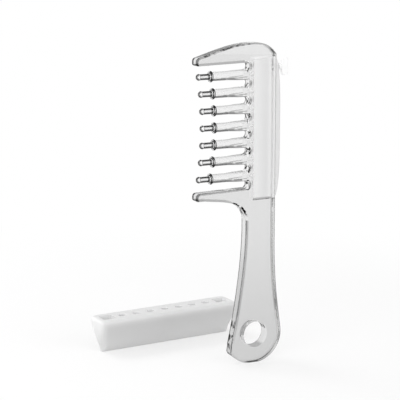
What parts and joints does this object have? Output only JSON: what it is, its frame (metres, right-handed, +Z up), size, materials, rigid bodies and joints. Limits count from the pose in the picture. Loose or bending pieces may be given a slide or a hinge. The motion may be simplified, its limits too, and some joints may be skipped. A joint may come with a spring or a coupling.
{
  "type": "scalp applicator comb",
  "caption": "Clear comb for applying liquid to the scalp, with hollow teeth that end in dispensing nozzles, a squeeze reservoir in its spine, a hanging hole and a separate tooth cap.",
  "frame": {"origin": "on the surface that the comb and its cap stand on, under the centre of the whole box", "axes": "+Z up along the handle to the crown, +X from the tooth tips to the spine, +Y from the front face to the back, towards the cap"},
  "size_m": [0.1065, 0.083, 0.206],
  "materials": {
    "clear_plastic": "clear, polished",
    "nozzle_plastic": "clear, polished",
    "white_plastic": "satin",
    "white_silicone": "matte",
    "cap_silicone": "matte, milky"
  },
  "bodies": {
    "comb": {"comb_body": "clear_plastic", "tooth_1": "clear_plastic", "tooth_2": "clear_plastic", "tooth_3": "clear_plastic", "tooth_4": "clear_plastic", "tooth_5": "clear_plastic", "tooth_6": "clear_plastic", "tooth_7": "clear_plastic", "nozzle_1": "nozzle_plastic", "nozzle_2": "nozzle_plastic", "nozzle_3": "nozzle_plastic", "nozzle_4": "nozzle_plastic", "nozzle_5": "nozzle_plastic", "nozzle_6": "nozzle_plastic", "nozzle_7": "nozzle_plastic"},
    "reservoir": {"reservoir": "white_plastic"},
    "squeeze_pad": {"squeeze_pad": "white_silicone"},
    "filler_plug": {"filler_plug": "white_silicone"},
    "tooth_cap": {"tooth_cap": "cap_silicone"}
  },
  "joints": [
    {"name": "reservoir_slide", "type": "slide", "parent": "comb", "child": "reservoir", "axis": [1, 0, 0], "range_m": [0, 0.024]},
    {"name": "pad_press", "type": "slide", "parent": "reservoir", "child": "squeeze_pad", "axis": [-1, 0, 0], "range_m": [0, 0.0015], "stiffness_N_per_m": 1200},
    {"name": "plug_pull", "type": "slide", "parent": "squeeze_pad", "child": "filler_plug", "axis": [1, 0, 0], "range_m": [0, 0.01]},
    {"name": "cap_lift", "type": "slide", "parent": "comb", "child": "tooth_cap", "axis": [0, 1, 0], "range_m": [0, 0.08]}
  ]
}
